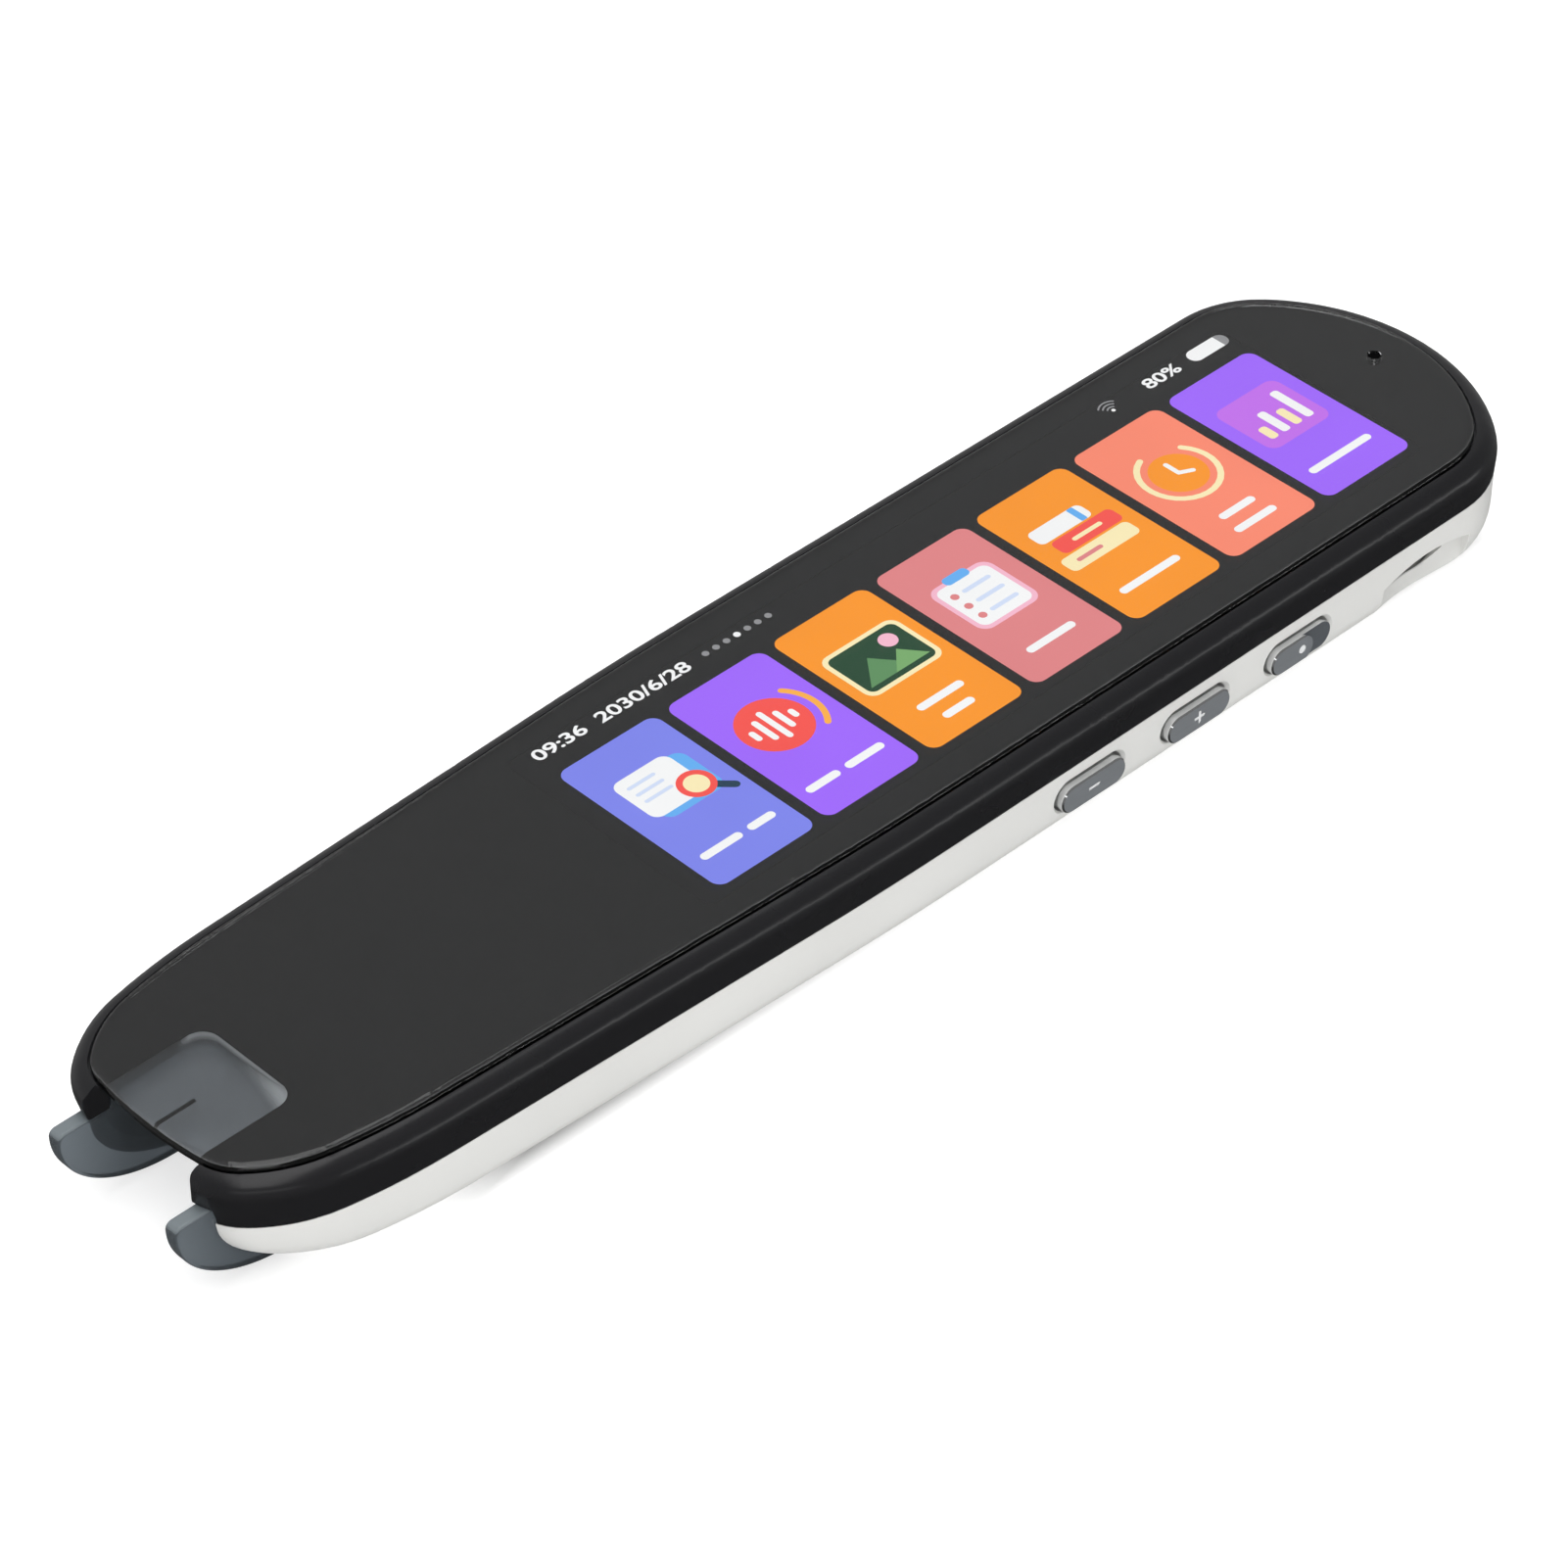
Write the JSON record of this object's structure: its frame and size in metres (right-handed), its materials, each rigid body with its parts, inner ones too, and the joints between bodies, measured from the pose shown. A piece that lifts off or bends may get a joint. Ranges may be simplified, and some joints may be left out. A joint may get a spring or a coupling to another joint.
{
  "type": "scanning translator pen",
  "caption": "Bar-shaped handheld translator with a full-length glass touch display, a smoked scan head between two feet at the nose, side buttons and a lanyard bar.",
  "frame": {"origin": "On the flat underside, below the middle of the body's length and width, so at the bottom centre of the bounding box to within 0.7 mm. The box runs from x -77.3 to 78.6 mm, so its centre is 0.65 mm towards the tail, and the buttons stand 0.16 mm proud on -Y.", "axes": "+X from the scanning nose to the tail, +Z out of the display, -Y the side with the three buttons and the lanyard bar."},
  "size_m": [0.1559, 0.0352, 0.0135],
  "materials": {
    "shell_white": "semi-gloss moulded white",
    "frame_black": "satin black",
    "cover_glass": "polished clear glass",
    "ink_black": "black screen print behind glass",
    "tape": "dark adhesive tape and foam",
    "display": "dark liquid crystal panel",
    "light_guide": "white light guide",
    "smoke": "smoked clear plastic, polished",
    "chassis_black": "matt black",
    "board": "green solder mask",
    "chip": "moulded black packages",
    "steel": "bright stamped steel",
    "button_metal": "satin metal face with bright edges",
    "cell_foil": "silver laminated pouch",
    "flex": "amber flexible circuit",
    "leads": "insulated wire",
    "connector": "ivory connector",
    "silicone": "grey silicone",
    "lens": "coated glass",
    "lamp": "white lamp with yellow phosphor"
  },
  "bodies": {
    "body": {"rear_shell": "shell_white", "front_frame": "frame_black", "cover_glass": "cover_glass", "cover_ink": "ink_black", "aiming_line": "ink_black", "glass_adhesive": "tape", "display_panel": "display", "display_backlight": "light_guide", "display_foam": "tape", "display_flex": "flex", "main_board": "board", "processor_shield": "steel", "thermal_pad": "silicone", "memory_chips": "chip", "radio_module": "steel", "power_chips": "chip", "antenna": "flex", "board_screws": "steel", "battery": "cell_foil", "battery_tape": "tape", "battery_connector": "connector", "battery_leads": "leads", "speaker": "chip", "speaker_gasket": "tape", "speaker_mesh": "steel", "microphone": "steel", "microphone_gasket": "silicone", "usb_receptacle": "steel", "optics_chassis": "chassis_black", "optics_window": "lens", "camera_module": "chip", "camera_lens": "lens", "camera_flex": "flex", "light_board": "board", "light_leds": "lamp", "button_switches": "steel", "button_flex": "flex", "button_bracket": "steel", "tip_switch": "chip", "head_springs": "steel"},
    "scan_tip": {"scan_head": "smoke", "head_carrier": "chassis_black"},
    "front_button": {"front_button_cap": "button_metal", "front_button_plunger": "silicone"},
    "middle_button": {"middle_button_cap": "button_metal", "middle_button_plunger": "silicone"},
    "rear_button": {"rear_button_cap": "button_metal", "rear_button_plunger": "silicone"}
  },
  "joints": [
    {"name": "scan_tip_press", "type": "slide", "parent": "body", "child": "scan_tip", "axis": [1, 0, 0], "range_m": [0, 0.0008], "stiffness_N_per_m": 300, "springref_m": -0.002, "deforming": ["head_springs"]},
    {"name": "front_button_press", "type": "slide", "parent": "body", "child": "front_button", "axis": [0, 1, 0], "range_m": [0, 0.00035], "stiffness_N_per_m": 400, "springref_m": -0.002},
    {"name": "middle_button_press", "type": "slide", "parent": "body", "child": "middle_button", "axis": [0, 1, 0], "range_m": [0, 0.00035], "stiffness_N_per_m": 400, "springref_m": -0.002},
    {"name": "rear_button_press", "type": "slide", "parent": "body", "child": "rear_button", "axis": [0, 1, 0], "range_m": [0, 0.00035], "stiffness_N_per_m": 400, "springref_m": -0.002}
  ]
}
